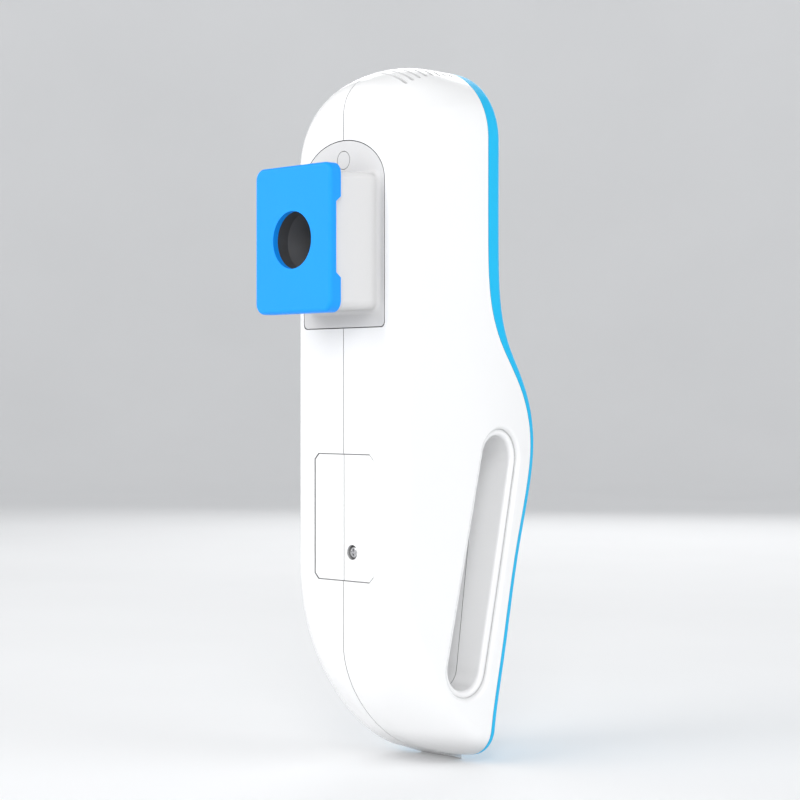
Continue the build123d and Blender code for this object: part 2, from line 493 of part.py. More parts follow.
def make_head_cap():
    """The coloured slip-on cap: a tray with a round aperture and a notch in each side wall."""
    outer = rounded_box(-CAP_HALF, CAP_HALF, CAP_FRONT_Y, CAP_BACK_Y,
                        CAP_Z - CAP_HALF_H, CAP_Z + CAP_HALF_H, CAP_CORNER_R)
    outer = fillet(outer.faces().sort_by(Axis.Y)[0].edges(), CAP_BEVEL)
    inner = rounded_box(CAP_WALL - CAP_HALF, CAP_HALF - CAP_WALL, CAP_FRONT_Y + CAP_FACE, 0,
                        CAP_Z - CAP_HALF_H + CAP_WALL, CAP_Z + CAP_HALF_H - CAP_WALL,
                        CAP_CORNER_R - CAP_WALL)
    cap = outer - inner
    n = CAP_NOTCH_HALF
    depth = CAP_BACK_Y - CAP_NOTCH_Y - CAP_NOTCH_EASE
    outline = Polyline((CAP_NOTCH_Y, CAP_Z - n + 1), (CAP_NOTCH_Y, CAP_Z + n - 1),
                       (CAP_BACK_Y + 1, CAP_Z + n + depth), (CAP_BACK_Y + 1, CAP_Z - n - depth),
                       (CAP_NOTCH_Y, CAP_Z - n + 1))
    cap = cap - prism_x(make_face(outline.edges()), -REACH, REACH)
    return cap - rod_y(0, APERTURE_Z, APERTURE_R, CAP_FRONT_Y - 1, CAP_FRONT_Y + CAP_FACE + 1)


def make_aperture_tube():
    """The black viewing tube, a straight mouth and a cone down to the sensor."""
    cone_y = BLOCK_TIP_Y + TUBE_MOUTH_DEPTH
    flange_y = BLOCK_TIP_Y + BLOCK_WALL
    tube = rod_y(0, APERTURE_Z, TUBE_R, BLOCK_TIP_Y, TUBE_END_Y)
    tube = tube + rod_y(0, APERTURE_Z, TUBE_R + TUBE_FLANGE, flange_y + 0.1, flange_y + TUBE_FLANGE)
    tube = tube - rod_y(0, APERTURE_Z, TUBE_MOUTH_R, BLOCK_TIP_Y - 1, cone_y)
    cone = Cone(TUBE_THROAT_R, TUBE_MOUTH_R, TUBE_END_Y - cone_y)
    return tube - Pos(0, (cone_y + TUBE_END_Y) / 2, APERTURE_Z) * Rot(90, 0, 0) * cone


def make_sensor_holder():
    """The collar that centres the sensor behind the viewing tube."""
    holder = rod_y(0, APERTURE_Z, TUBE_R, TUBE_END_Y + 0.1, HOLDER_END_Y)
    return holder - rod_y(0, APERTURE_Z, HOLDER_BORE_R, TUBE_END_Y - 1, HOLDER_END_Y + 1)


def make_ir_sensor():
    """The metal sensor can on its base flange, with a seat for the filter."""
    can = rod_y(0, APERTURE_Z, CAN_R, CAN_FRONT_Y, CAN_BASE_Y)
    can = can - rod_y(0, APERTURE_Z, FILTER_SEAT_R, CAN_FRONT_Y - 1, CAN_FRONT_Y + FILTER_THICK + 0.1)
    return can + rod_y(0, APERTURE_Z, CAN_BASE_R, CAN_BASE_Y, CAN_END_Y)


def make_sensor_window():
    """The infrared filter set in the can's front."""
    return rod_y(0, APERTURE_Z, FILTER_R, CAN_FRONT_Y + 0.05, CAN_FRONT_Y + 0.05 + FILTER_THICK)


def make_sensor_board():
    """The small board behind the sensor."""
    return rounded_box(-SENSOR_BOARD_HALF, SENSOR_BOARD_HALF, SENSOR_BOARD_Y,
                       SENSOR_BOARD_Y + SENSOR_BOARD_THICK, SENSOR_BOARD_LOW_Z, SENSOR_BOARD_HIGH_Z, 1.5)


def make_sensor_cable():
    """The flat cable from the sensor board back to the main board."""
    start_y = SENSOR_BOARD_Y + SENSOR_BOARD_THICK + 0.1
    return block(-FLEX_HALF, FLEX_HALF, start_y, BOARD_Y - 0.1,
                 FLEX_Z - FLEX_THICK / 2, FLEX_Z + FLEX_THICK / 2)


def pan_head_screw(x, z, head_y, tip_y, head_r, head_h):
    """A cross-recess screw along Y; the outer face of its head is at head_y."""
    way = 1 if tip_y > head_y else -1
    neck_y = head_y + way * head_h
    head = rod_y(x, z, head_r, *sorted((head_y, neck_y)))
    top = head.faces().sort_by(Axis.Y)[0 if way > 0 else -1]
    head = fillet(top.edges(), head_h * 0.45)
    screw = head + rod_y(x, z, SCREW_SHANK_R, *sorted((neck_y, tip_y)))
    arm, slit, depth = head_r * 0.62, head_r * 0.2, head_h * 0.6
    low, high = sorted((head_y - way, head_y + way * depth))
    for a, b in ((arm, slit), (slit, arm)):
        screw = screw - block(x - a, x + a, low, high, z - b, z + b)
    return screw


# ---------------------------------------------------------------- controls and display
def make_button(x, r):
    """A push button: a cap through the cover and a wider skirt behind it."""
    cap = rod_y(x, BUTTON_Z, r, REAR_Y - BUTTON_DEPTH, REAR_Y + BUTTON_PROUD)
    cap = fillet(cap.faces().sort_by(Axis.Y)[-1].edges(), BUTTON_EDGE_R)
    skirt_y = REAR_Y - WALL - SKIRT_GAP
    return cap + rod_y(x, BUTTON_Z, r + SKIRT_REACH, skirt_y - SKIRT_THICK, skirt_y)


def make_display_window():
    """The clear window, flush with the back cover."""
    return rounded_box(-WINDOW_HALF, WINDOW_HALF, REAR_Y - WINDOW_THICK, REAR_Y,
                       WINDOW_LOW_Z, WINDOW_HIGH_Z, WINDOW_CORNER_R)


def make_display_gasket():
    """The foam frame between the window's ledge and the display."""
    e = WINDOW_LEDGE - 1.0
    w = e + GASKET_WIDTH
    outer = rounded_box(e - WINDOW_HALF, WINDOW_HALF - e, GASKET_Y0, GASKET_Y1,
                        WINDOW_LOW_Z + e, WINDOW_HIGH_Z - e, GASKET_CORNER_R)
    return outer - rounded_box(w - WINDOW_HALF, WINDOW_HALF - w, GASKET_Y0 - 1, GASKET_Y1 + 1,
                               WINDOW_LOW_Z + w, WINDOW_HIGH_Z - w, GASKET_CORNER_R - 1)


def make_lcd_module():
    """The liquid-crystal glass."""
    return rounded_box(-LCD_HALF, LCD_HALF, LCD_Y0, LCD_Y1, LCD_LOW_Z, LCD_HIGH_Z, 0.8)


def make_lcd_frame():
    """The frame that holds the glass above the main board."""
    w, g, e = FRAME_WALL, LCD_GAP, FRAME_OPEN
    frame = rounded_box(-LCD_HALF - w, LCD_HALF + w, FRAME_Y0, FRAME_Y1,
                        LCD_LOW_Z - w, LCD_HIGH_Z + w, 1.5)
    frame = frame - rounded_box(-LCD_HALF - g, LCD_HALF + g, LCD_Y0 - g, FRAME_Y1 + 1,
                                LCD_LOW_Z - g, LCD_HIGH_Z + g, 0.9)
    return frame - rounded_box(e - LCD_HALF, LCD_HALF - e, FRAME_Y0 - 1, LCD_Y0 + 1,
                               LCD_LOW_Z + e, LCD_HIGH_Z - e, 1)


def make_keypad_membrane():
    """The rubber sheet between the buttons and their switches."""
    sheet = rounded_box(-MEMBRANE_HALF, MEMBRANE_HALF, MEMBRANE_Y0, MEMBRANE_Y1,
                        BUTTON_Z - MEMBRANE_HALF_H, BUTTON_Z + MEMBRANE_HALF_H, 2)
    for x, _ in BUTTONS.values():
        sheet = sheet + rod_y(x, BUTTON_Z, NUB_R, NUB_Y, MEMBRANE_Y0 + 0.2)
    return sheet


def make_tact_switches():
    """One small switch on the main board under each button."""
    switches = []
    for x, _ in BUTTONS.values():
        body = block(x - SWITCH_HALF, x + SWITCH_HALF, SWITCH_Y0, SWITCH_Y1,
                     BUTTON_Z - SWITCH_HALF, BUTTON_Z + SWITCH_HALF)
        switches.append((body + rod_y(x, BUTTON_Z, PLUNGER_R, SWITCH_Y1, PLUNGER_Y)).solid())
    return Compound(children=switches)


# ---------------------------------------------------------------- inside the body
def make_chassis():
    """The inner frame that joins the two halves and carries the main board."""
    y0, y1 = CHASSIS_Y, CHASSIS_Y + CHASSIS_THICK
    plate = rounded_box(-CHASSIS_HALF, CHASSIS_HALF, y0, y1,
                        CHASSIS_LOW_Z, CHASSIS_HIGH_Z, CHASSIS_CORNER_R)
    plate = plate + rounded_box(-CHASSIS_TOP_HALF, CHASSIS_TOP_HALF, y0, y1,
                                CHASSIS_HIGH_Z - 8, CHASSIS_TOP_Z, CHASSIS_CORNER_R)
    for half, low, high in CHASSIS_WINDOWS:
        plate = plate - rounded_box(-half, half, y0 - 1, y1 + 1, low, high, 2)
    for x, z in POSTS:
        plate = plate + rod_y(x, z, POST_R, y1 - 0.5, BOARD_Y - POST_GAP)
        plate = plate - rod_y(x, z, POST_BORE_R, y1 + 1, BOARD_Y + 1)
    for x, z in CHASSIS_SCREWS:
        plate = plate - rod_y(x, z, SCREW_SHANK_R + SCREW_BITE, y0 - 1, y1 + 1)
    return plate


def make_main_board():
    """The main board with two chips, notched at the top for the speaker."""
    y0, y1 = BOARD_Y, BOARD_Y + BOARD_THICK
    board = rounded_box(-BOARD_HALF, BOARD_HALF, y0, y1, BOARD_LOW_Z, BOARD_HIGH_Z, 2)
    board = board - rounded_box(-BOARD_NOTCH_HALF, BOARD_NOTCH_HALF, y0 - 1, y1 + 1,
                                BOARD_HIGH_Z - BOARD_NOTCH_DEPTH, BOARD_HIGH_Z + 5, 0.5)
    for x, z in POSTS:
        board = board - rod_y(x, z, BOARD_HOLE_R, y0 - 1, y1 + 1)
    for x0, x1, height, z0, z1 in CHIPS:
        board = board + block(x0, x1, y0 - height, y0 + 0.1, z0, z1)
    return board


def make_board_screws():
    """Four small screws through the board into the chassis posts."""
    screws = []
    head_y = BOARD_Y + BOARD_THICK
    for x, z in POSTS:
        head = rod_y(x, z, BOARD_SCREW_HEAD_R, head_y, head_y + BOARD_SCREW_HEAD_H)
        shank = rod_y(x, z, BOARD_SCREW_R, BOARD_Y - BOARD_SCREW_REACH, head_y + 0.1)
        screws.append((head + shank).solid())
    return Compound(children=screws)


def make_battery_cells():
    """Two round cells side by side, each with its raised end contact."""
    cells = []
    top = CELL_LOW_Z + CELL_LENGTH
    for x in (-CELL_X, CELL_X):
        body = rod_z(x, CELL_Y, CELL_R, CELL_LOW_Z, top)
        body = fillet(body.edges().filter_by(GeomType.CIRCLE), CELL_EDGE_R)
        cells.append((body + rod_z(x, CELL_Y, NIPPLE_R, top - 0.1, top + NIPPLE_H)).solid())
    return Compound(children=cells)


def make_battery_tray():
    """The open tray that holds both cells."""
    x = CELL_X + CELL_R + TRAY_MARGIN
    top = CELL_LOW_Z + CELL_LENGTH
    rear_y = CELL_Y + CELL_R
    tray = block(-x, x, CELL_Y - TRAY_FRONT, rear_y + TRAY_WALL,
                 CELL_LOW_Z - TRAY_END, top + TRAY_END + NIPPLE_H)
    return tray - block(TRAY_WALL - x, x - TRAY_WALL, CELL_Y - 20, rear_y + 0.1,
                        CELL_LOW_Z - 0.6, top + NIPPLE_H + 0.6)


def make_battery_leads():
    """Two insulated leads from the battery tray up to the main board."""
    leads = []
    start_y = CELL_Y + 4
    top = CELL_LOW_Z + CELL_LENGTH + TRAY_END + NIPPLE_H + 0.1
    for x in (-LEAD_X, LEAD_X):
        path = FilletPolyline((x, start_y, top), (x, start_y, LEAD_KNEE_Z), (x, LEAD_REAR_Y, LEAD_KNEE_Z),
                              (x, LEAD_REAR_Y, LEAD_END_Z), (x, BOARD_Y - 0.1, LEAD_END_Z),
                              radius=LEAD_BENDS)
        profile = Plane(origin=path @ 0, z_dir=path % 0) * Circle(LEAD_R)
        leads.append(sweep(profile, path).solid())
    return Compound(children=leads)


def make_speaker():
    """The small speaker under the crest: a magnet below and a hollow cone above."""
    y, z = SPEAKER_Y, SPEAKER_LOW_Z
    body = rod_z(0, y, SPEAKER_R, z + SPEAKER_BASKET_Z, z + SPEAKER_H)
    body = body + rod_z(0, y, SPEAKER_MAGNET_R, z, z + SPEAKER_BASKET_Z + 0.1)
    return body - Pos(0, y, z + SPEAKER_H + CONE_RISE) * Sphere(CONE_R)


def make_speaker_gasket():
    """The foam ring between the speaker and the crest."""
    z = SPEAKER_LOW_Z + SPEAKER_H + 0.05
    ring = rod_z(0, SPEAKER_Y, SPEAKER_R, z, z + SPEAKER_GASKET_H)
    return ring - rod_z(0, SPEAKER_Y, SPEAKER_R - SPEAKER_GASKET_WIDTH, z - 1, z + SPEAKER_GASKET_H + 1)


# ---------------------------------------------------------------- charging port and its cover
def make_charge_port():
    """The metal shell of the charging socket with its tongue."""
    w = SOCKET_WALL
    shell = extrude(Plane.XY.offset(SOCKET_Z) * Pos(0, PORT_Y) * SlotOverall(SOCKET_WIDTH, SOCKET_DEPTH),
                    SOCKET_H)
    inside = SlotOverall(SOCKET_WIDTH - 2 * w, SOCKET_DEPTH - 2 * w)
    hollow = extrude(Plane.XY.offset(SOCKET_Z - 1) * Pos(0, PORT_Y) * inside, SOCKET_H)
    tongue = block(-TONGUE_HALF, TONGUE_HALF, PORT_Y - TONGUE_THICK / 2, PORT_Y + TONGUE_THICK / 2,
                   SOCKET_Z + 1, SOCKET_Z + SOCKET_H - 0.4)
    return (shell - hollow) + tongue


def make_charge_board():
    """The small board that carries the socket."""
    return block(-CHARGE_BOARD_HALF, CHARGE_BOARD_HALF, PORT_Y - CHARGE_BOARD_FRONT,
                 PORT_Y + CHARGE_BOARD_REAR, CHARGE_BOARD_Z, CHARGE_BOARD_Z + CHARGE_BOARD_THICK)


def make_port_cover():
    """The flap: a barrel on the hinge pin, and a wedge that ends in a lip to pull at the back."""
    outline = Polyline((HINGE_Y, HINGE_Z + HINGE_R), (HINGE_Y, HINGE_Z - HINGE_R), (FLAP_LIP_Y, 0),
                       (FLAP_LIP_Y, FLAP_LIP_TOP_Z), (FLAP_STEP_Y, FLAP_LIP_TOP_Z),
                       (FLAP_STEP_Y, FLAP_STEP_Z), (HINGE_Y, HINGE_Z + HINGE_R))
    flap = prism_x(make_face(outline.edges()), -FLAP_HALF, FLAP_HALF)
    flap = flap + rod_x(HINGE_Y, HINGE_Z, HINGE_R, -FLAP_HALF, FLAP_HALF)
    return flap - rod_x(HINGE_Y, HINGE_Z, PIN_R + PIN_CLEARANCE, -FLAP_HALF - 1, FLAP_HALF + 1)


# ---------------------------------------------------------------- build everything
def make_chassis_screws():
    """Four screws from behind, through the chassis into the bosses of the halves."""
    screws = [pan_head_screw(x, z, BOSS_Y1 + CHASSIS_HEAD_H + 0.2, CHASSIS_Y + 0.4,
                             CHASSIS_HEAD_R, CHASSIS_HEAD_H).solid() for x, z in CHASSIS_SCREWS]
    return Compound(children=screws)


def main():
    for name, half in make_housings().items():
        save(half, name)
    save(make_back_cover(), "back_cover")
    save(make_grille_cloth(), "grille_cloth")
    save(make_head_housing(), "head_housing")
    save(make_head_cap(), "head_cap")
    save(make_aperture_tube(), "aperture_tube")
    save(make_sensor_holder(), "sensor_holder")
    save(make_ir_sensor(), "ir_sensor")
    save(make_sensor_window(), "sensor_window")
    save(make_sensor_board(), "sensor_board")
    save(make_sensor_cable(), "sensor_cable")
    save(rod_y(0, PLUG_Z, PLUG_R, FRONT_Y, FRONT_Y + PLUG_THICK), "head_plug")
    save(pan_head_screw(0, PLUG_Z, HEAD_SCREW_HEAD_Y, HEAD_SCREW_TIP_Y, HEAD_SCREW_R, HEAD_SCREW_H),
         "head_screw")
    save(pan_head_screw(CASE_SCREW_X, CASE_SCREW_Z, CASE_HEAD_Y, CASE_TIP_Y, CASE_HEAD_R, CASE_HEAD_H),
         "case_screw")
    save(make_chassis_screws(), "chassis_screws")
    for name, (x, r) in BUTTONS.items():
        save(make_button(x, r), name)
    save(make_display_window(), "display_window")
    save(make_display_gasket(), "display_gasket")
    save(make_lcd_module(), "lcd_module")
    save(make_lcd_frame(), "lcd_frame")
    save(make_keypad_membrane(), "keypad_membrane")
    save(make_tact_switches(), "tact_switches")
    save(make_chassis(), "inner_chassis")
    save(make_main_board(), "main_board")
    save(make_board_screws(), "board_screws")
    save(make_battery_cells(), "battery_cells")
    save(make_battery_tray(), "battery_tray")
    save(make_battery_leads(), "battery_leads")
    save(make_speaker(), "speaker")
    save(make_speaker_gasket(), "speaker_gasket")
    save(make_charge_port(), "charge_port")
    save(make_charge_board(), "charge_board")
    save(make_port_cover(), "port_cover")
    save(rod_x(HINGE_Y, HINGE_Z, PIN_R, -PIN_HALF, PIN_HALF), "hinge_pin")


main()
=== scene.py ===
"""Handheld infrared thermometer: looks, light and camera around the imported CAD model. Metres, CAD frame."""
import json
import math

import bmesh
import bpy
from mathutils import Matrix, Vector


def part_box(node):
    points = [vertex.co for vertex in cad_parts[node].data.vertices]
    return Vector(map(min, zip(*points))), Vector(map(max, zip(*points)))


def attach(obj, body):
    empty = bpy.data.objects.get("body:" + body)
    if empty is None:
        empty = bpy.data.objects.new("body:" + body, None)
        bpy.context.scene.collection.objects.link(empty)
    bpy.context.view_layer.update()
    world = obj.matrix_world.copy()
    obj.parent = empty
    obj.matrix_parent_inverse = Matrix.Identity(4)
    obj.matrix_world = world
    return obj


MM = 0.001

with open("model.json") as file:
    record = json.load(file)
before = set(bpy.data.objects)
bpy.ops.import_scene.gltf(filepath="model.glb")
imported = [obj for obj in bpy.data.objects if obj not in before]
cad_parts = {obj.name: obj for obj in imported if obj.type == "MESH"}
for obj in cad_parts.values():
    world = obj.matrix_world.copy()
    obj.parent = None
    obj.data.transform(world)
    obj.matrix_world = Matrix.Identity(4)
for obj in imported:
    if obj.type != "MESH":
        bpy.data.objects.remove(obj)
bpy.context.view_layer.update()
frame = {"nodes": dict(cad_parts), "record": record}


# ------------------------------------------------------------------ camera
CAMERA_AT = Vector((573.1, -553.6, 140.8)) * MM
CAMERA_TOWARDS = Vector((-0.7181, 0.6959, 0.0))
CAMERA_LENS, CAMERA_SENSOR = 92.4, 36.0     # millimetres
CAMERA_NEAR = 0.01


def make_camera():
    """A level camera on the object's front right."""
    camera = bpy.data.objects.new("camera", bpy.data.cameras.new("camera"))
    bpy.context.scene.collection.objects.link(camera)
    camera.data.lens = CAMERA_LENS
    camera.data.sensor_width = CAMERA_SENSOR
    camera.data.clip_start = CAMERA_NEAR
    camera.location = CAMERA_AT
    camera.rotation_euler = CAMERA_TOWARDS.to_track_quat("-Z", "Y").to_euler()
    bpy.context.scene.camera = camera


# ------------------------------------------------------------------ node helpers
AO_SAMPLES = 6
MIX_A, MIX_B, MIX_RESULT = 6, 7, 2      # the Mix node's colour sockets share their names with others


class Shader:
    """A short way to write a material's node tree."""

    def __init__(self, name):
        self.material = bpy.data.materials.new(name)
        self.material.use_nodes = True
        self.tree = self.material.node_tree
        self.surface = self.tree.nodes["Principled BSDF"]
        self.position = None

    def node(self, kind, inputs=None, **settings):
        made = self.tree.nodes.new(kind)
        for key, value in settings.items():
            setattr(made, key, value)
        for key, value in (inputs or {}).items():
            if isinstance(value, bpy.types.NodeSocket):
                self.tree.links.new(value, made.inputs[key])
            else:
                made.inputs[key].default_value = value
        return made

    def coordinates(self):
        if self.position is None:
            self.position = self.node("ShaderNodeTexCoord").outputs["Object"]
        return self.position

    def noise(self, scale, detail=3.0, roughness=0.5):
        made = self.node("ShaderNodeTexNoise", {"Vector": self.coordinates(), "Scale": scale,
                                                "Detail": detail, "Roughness": roughness})
        return made.outputs["Fac"]

    def ramp(self, value, stops):
        """Map a value through colour or grey stops given as (place, colour)."""
        made = self.node("ShaderNodeValToRGB", {"Fac": value})
        elements = made.color_ramp.elements
        while len(elements) < len(stops):
            elements.new(0.5)
        for element, (place, colour) in zip(elements, stops):
            element.position = place
            element.color = colour if len(colour) == 4 else (*colour, 1.0)
        return made.outputs["Color"]

    def spread(self, value, low, high):
        """Map 0..1 to low..high."""
        made = self.node("ShaderNodeMapRange", {"Value": value, "To Min": low, "To Max": high})
        return made.outputs["Result"]

    def painted_crease_shade(self, colour, crease_shade, reach_mm):
        """Painted shade: let a linked colour run to a fixed darker one in seams, grooves and inside corners
        within reach, where shade falls.
        """
        open_air = self.node("ShaderNodeAmbientOcclusion", {"Distance": reach_mm * MM}, samples=AO_SAMPLES)
        clear = self.ramp(open_air.outputs["AO"], [(0.25, (0.0, 0.0, 0.0)), (0.8, (1.0, 1.0, 1.0))])
        mix = self.node("ShaderNodeMix", {"Factor": clear, MIX_A: (*crease_shade, 1.0), MIX_B: colour},
                        data_type="RGBA")
        return mix.outputs[MIX_RESULT]

    def bump(self, height, strength, distance, normal=None):
        inputs = {"Height": height, "Strength": strength, "Distance": distance}
        if normal is not None:
            inputs["Normal"] = normal
        return self.node("ShaderNodeBump", inputs).outputs["Normal"]

    def set(self, **values):
        for key, value in values.items():
            socket = self.surface.inputs[key.replace("_", " ")]
            if isinstance(value, bpy.types.NodeSocket):
                self.tree.links.new(value, socket)
            elif socket.type == "RGBA" and len(value) == 3:
                socket.default_value = (*value, 1.0)
            else:
                socket.default_value = value


def shade(colour, factor):
    return tuple(min(channel * factor, 1.0) for channel in colour)


# ------------------------------------------------------------------ materials
# How far the painted shade in recesses and seams reaches: wide and mild, then tight and strong.
WIDE_SHADE_REACH_MM, TIGHT_SHADE_REACH_MM = 16.0, 1.6
RING_SCALE = 900.0


def moulded_plastic(name, colour, rough, grain_mm, grain_depth, coat=0.0, coat_rough=0.05, tint=0.03,
                    gloss=0.5, crease_shade=None):
    """Injection-moulded plastic: slight colour drift, uneven polish, spark grain and a faint flow ripple;
    given a shade factor, also painted shade in recesses and seams.
    """
    s = Shader(name)
    drift = s.noise(18.0, 2.0)
    body = s.ramp(drift, [(0.3, shade(colour, 1 - tint)), (0.7, shade(colour, 1 + tint * 0.5))])
    # Painted shade: the colour darkens in wide recesses, and further in tight seams, where shade falls.
    if crease_shade:
        body = s.painted_crease_shade(body, shade(colour, (1 + crease_shade) / 2), WIDE_SHADE_REACH_MM)
        body = s.painted_crease_shade(body, shade(colour, crease_shade), TIGHT_SHADE_REACH_MM)
    s.set(Base_Color=body)
    s.set(Roughness=s.spread(s.noise(140.0, 4.0), rough * 0.85, rough * 1.18))
    grain = s.noise(1.0 / (grain_mm * MM), 2.0, 0.6)
    ripple = s.noise(55.0, 1.0)
    rippled = s.bump(ripple, 0.12, 0.05 * MM)
    s.set(Normal=s.bump(grain, 0.5, grain_depth * MM, rippled))
    s.set(Coat_Weight=coat, Coat_Roughness=coat_rough, IOR=1.49, Specular_IOR_Level=gloss)
    return s.material


def machined_metal(name, colour, rough):
    """Turned and plated steel: fine rings and small scuffs."""
    s = Shader(name)
    scuffs = s.noise(1800.0, 4.0, 0.7)
    wave = s.node("ShaderNodeTexWave", {"Vector": s.coordinates(), "Scale": RING_SCALE, "Distortion": 1.5})
    s.set(Base_Color=s.ramp(scuffs, [(0.35, shade(colour, 0.86)), (0.65, colour)]))
    s.set(Roughness=s.spread(scuffs, rough * 0.8, rough * 1.3), Metallic=1.0)
    s.set(Normal=s.bump(wave.outputs["Fac"], 0.15, 0.01 * MM))
    return s.material


def soft_rubber(name, colour, rough=0.75):
    """Silicone or foam rubber: dull with a fine pitted skin."""
    s = Shader(name)
    pits = s.noise(2600.0, 3.0, 0.65)
    s.set(Base_Color=s.ramp(pits, [(0.3, shade(colour, 0.85)), (0.7, colour)]))
    s.set(Roughness=s.spread(pits, rough * 0.9, min(rough * 1.15, 1.0)))
    s.set(Normal=s.bump(pits, 0.3, 0.02 * MM))
    s.set(Sheen_Weight=0.15)
    return s.material


def woven_cloth(name, colour, pitch_mm=0.45):
    """Fine dust cloth: a plain weave of round threads, darker between them."""
    s = Shader(name)
    bands = []
    for direction in ("X", "Y"):
        wave = s.node("ShaderNodeTexWave", {"Vector": s.coordinates(), "Scale": 0.5 / (pitch_mm * MM)},
                      bands_direction=direction)
        bands.append(wave.outputs["Fac"])
    weave = s.node("ShaderNodeMath", {0: bands[0], 1: bands[1]}, operation="MULTIPLY").outputs["Value"]
    s.set(Base_Color=s.ramp(weave, [(0.1, shade(colour, 0.45)), (0.6, colour)]), Roughness=0.9)
    s.set(Normal=s.bump(weave, 0.6, 0.1 * MM), Sheen_Weight=0.3)
    return s.material


def circuit_board(name):
    """Green solder mask over faint copper tracks."""
    s = Shader(name)
    cells = s.node("ShaderNodeTexVoronoi", {"Vector": s.coordinates(), "Scale": 420.0}, distance="MANHATTAN")
    tracks = s.ramp(cells.outputs["Distance"], [(0.42, (0.012, 0.11, 0.045)), (0.5, (0.03, 0.22, 0.09))])
    s.set(Base_Color=tracks, Roughness=s.spread(s.noise(300.0), 0.28, 0.42))
    s.set(Normal=s.bump(cells.outputs["Distance"], 0.2, 0.03 * MM))
    return s.material


def dark_window(name, cover=1.0):
    """Smoked glass: clear gloss over a near-black tint that covers this much of what is behind it."""
    s = Shader(name)
    s.set(Alpha=cover)
    s.set(Base_Color=(0.016, 0.02, 0.024), Roughness=s.spread(s.noise(60.0), 0.03, 0.07))
    s.set(Normal=s.bump(s.noise(30.0, 1.0), 0.04, 0.02 * MM))
    s.set(Coat_Weight=1.0, Coat_Roughness=0.02, IOR=1.5)
    return s.material


def lcd_glass(name):
    """Grey-green reflective liquid crystal with a fine diffuser grain."""
    s = Shader(name)
    grain = s.noise(5200.0, 2.0)
    s.set(Base_Color=s.ramp(grain, [(0.3, (0.52, 0.58, 0.50)), (0.7, (0.58, 0.64, 0.55))]))
    s.set(Roughness=s.spread(grain, 0.2, 0.35), Coat_Weight=0.6)
    return s.material


def make_materials():
    """One material for each material slot of the record."""
    white = (0.87, 0.87, 0.872)
    return {
        # white_shell and head_grey get painted shade in their recesses and seams.
        "white_shell": moulded_plastic("white_shell", white, 0.24, 0.35, 0.004, 0.4, 0.08, 0.008, crease_shade=0.3),
        "cyan_shell": moulded_plastic("cyan_shell", (0.006, 0.47, 0.81), 0.38, 0.35, 0.004, tint=0.03,
                                      gloss=0.25),
        "head_grey": moulded_plastic("head_grey", (0.665, 0.66, 0.658), 0.45, 0.30, 0.010, tint=0.012,
                                     gloss=0.3, crease_shade=0.35),
        "cap_blue": moulded_plastic("cap_blue", (0.005, 0.31, 0.98), 0.5, 0.28, 0.012, tint=0.02, gloss=0.25),
        "tube_black": moulded_plastic("tube_black", (0.075, 0.075, 0.077), 0.52, 0.25, 0.014, tint=0.08),
        "steel": machined_metal("steel", (0.62, 0.62, 0.63), 0.26),
        "sensor_can": machined_metal("sensor_can", (0.7, 0.69, 0.67), 0.18),
        "ir_filter": dark_window("ir_filter"),
        "window": dark_window("window", 0.3),
        "lcd": lcd_glass("lcd"),
        "black_plastic": moulded_plastic("black_plastic", (0.03, 0.03, 0.032), 0.5, 0.3, 0.012, tint=0.08),
        "gasket": soft_rubber("gasket", (0.035, 0.035, 0.037)),
        "silicone": soft_rubber("silicone", (0.42, 0.43, 0.45), 0.6),
        "board_green": circuit_board("board_green"),
        "frame_plastic": moulded_plastic("frame_plastic", (0.45, 0.45, 0.46), 0.5, 0.4, 0.012, tint=0.04),
        "cell_wrap": moulded_plastic("cell_wrap", (0.03, 0.22, 0.14), 0.22, 0.5, 0.004, 0.3, 0.1, 0.06),
        "speaker_cloth": woven_cloth("speaker_cloth", (0.56, 0.56, 0.57)),
        "lead_red": soft_rubber("lead_red", (0.42, 0.02, 0.015), 0.45),
        "flex": moulded_plastic("flex", (0.42, 0.18, 0.03), 0.35, 0.4, 0.006, tint=0.08),
        "button_white": moulded_plastic("button_white", (0.84, 0.84, 0.845), 0.3, 0.3, 0.006, 0.3, 0.1, 0.01),
    }


def dress_nodes(materials):
    """Give every CAD node its slot's material."""
    slot_of = {sub["node"]: sub["material_slot"] for sub in frame["record"]["subparts"]}
    for name, node in frame["nodes"].items():
        node.data.materials.clear()
        node.data.materials.append(materials[slot_of[name]])


# ------------------------------------------------------------------ printed marks and display segments
DIGIT_WIDTH, DIGIT_HEIGHT, DIGIT_PITCH, SEGMENT_HALF, SEGMENT_GAP = 5.6, 12.0, 8.6, 0.65, 0.25
READING_LEFT, READING_LOW = -14.0, -7.5     # from the display's middle
POINT_BACK, POINT_R, LAST_DIGIT_SHIFT = 1.2, 0.75, 0.6
DEGREE_AT, DEGREE_R, DEGREE_HOLE_R = (11.0, READING_LOW + DIGIT_HEIGHT - 0.6), 1.3, 0.75
GAUGE = [(8.5, 9.0), (14.0, 9.0), (14.0, 11.6), (8.5, 11.6)]
GAUGE_LINE_HALF, CELL_LINE_HALF, CELL_LOW, CELL_HIGH = 0.2, 0.35, 9.7, 10.9
CELL_LINES = (9.4, 10.7, 12.0)
INK_ROOT, INK_FACE = -0.02, 0.06        # how deep the ink starts and how proud it stands
SEGMENTS_OF = {"3": "abcdg", "6": "acdefg", "5": "acdfg"}


def bar(start, end, half):
    """A pointed bar between two places, as a closed outline."""
    start, end = Vector(start), Vector(end)
    along = (end - start).normalized()
    side = Vector((-along.y, along.x)) * half
    tip = along * half
    return [start, start + tip + side, end - tip + side, end, end - tip - side, start + tip - side]


